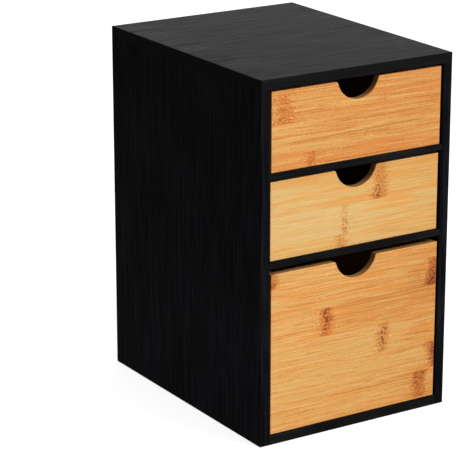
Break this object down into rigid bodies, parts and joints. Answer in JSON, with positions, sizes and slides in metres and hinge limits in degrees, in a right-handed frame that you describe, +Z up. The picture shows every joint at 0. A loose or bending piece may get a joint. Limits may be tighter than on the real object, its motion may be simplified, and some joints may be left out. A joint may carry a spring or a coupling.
{
  "type": "mini drawer cabinet",
  "caption": "Upright desktop cabinet with shallow and tall pull-out wooden drawers, each with a round finger notch in its front.",
  "frame": {"origin": "centre of the underside, on the surface that the cabinet stands on", "axes": "+Z up, drawer fronts face -Y and the drawers slide out along -Y, +X to the right seen from the front"},
  "size_m": [0.17, 0.215, 0.28],
  "materials": {
    "black_lacquer": "satin black lacquer over fine wood grain",
    "bamboo_top_front": "clear satin varnish on orange-tan laminated bamboo",
    "bamboo_middle_front": "clear satin varnish on pale laminated bamboo",
    "bamboo_bottom_front": "clear satin varnish on honey laminated bamboo",
    "bamboo_walls": "clear satin varnish on plain bamboo",
    "floor_board": "bare thin light board",
    "dowel_beech": "bare beech"
  },
  "bodies": {
    "cabinet": {"left_side": "black_lacquer", "right_side": "black_lacquer", "top_panel": "black_lacquer", "bottom_panel": "black_lacquer", "upper_divider": "black_lacquer", "lower_divider": "black_lacquer", "back_panel": "black_lacquer", "corner_dowels": "dowel_beech"},
    "top_drawer": {"top_drawer_front": "bamboo_top_front", "top_drawer_left_side": "bamboo_walls", "top_drawer_right_side": "bamboo_walls", "top_drawer_back": "bamboo_walls", "top_drawer_floor": "floor_board"},
    "middle_drawer": {"middle_drawer_front": "bamboo_middle_front", "middle_drawer_left_side": "bamboo_walls", "middle_drawer_right_side": "bamboo_walls", "middle_drawer_back": "bamboo_walls", "middle_drawer_floor": "floor_board"},
    "bottom_drawer": {"bottom_drawer_front": "bamboo_bottom_front", "bottom_drawer_left_side": "bamboo_walls", "bottom_drawer_right_side": "bamboo_walls", "bottom_drawer_back": "bamboo_walls", "bottom_drawer_floor": "floor_board"}
  },
  "joints": [
    {"name": "top_drawer_slide", "type": "slide", "parent": "cabinet", "child": "top_drawer", "axis": [0, -1, 0], "range_m": [-0.001, 0.16]},
    {"name": "middle_drawer_slide", "type": "slide", "parent": "cabinet", "child": "middle_drawer", "axis": [0, -1, 0], "range_m": [0, 0.16]},
    {"name": "bottom_drawer_slide", "type": "slide", "parent": "cabinet", "child": "bottom_drawer", "axis": [0, -1, 0], "range_m": [-0.0015, 0.16]}
  ]
}
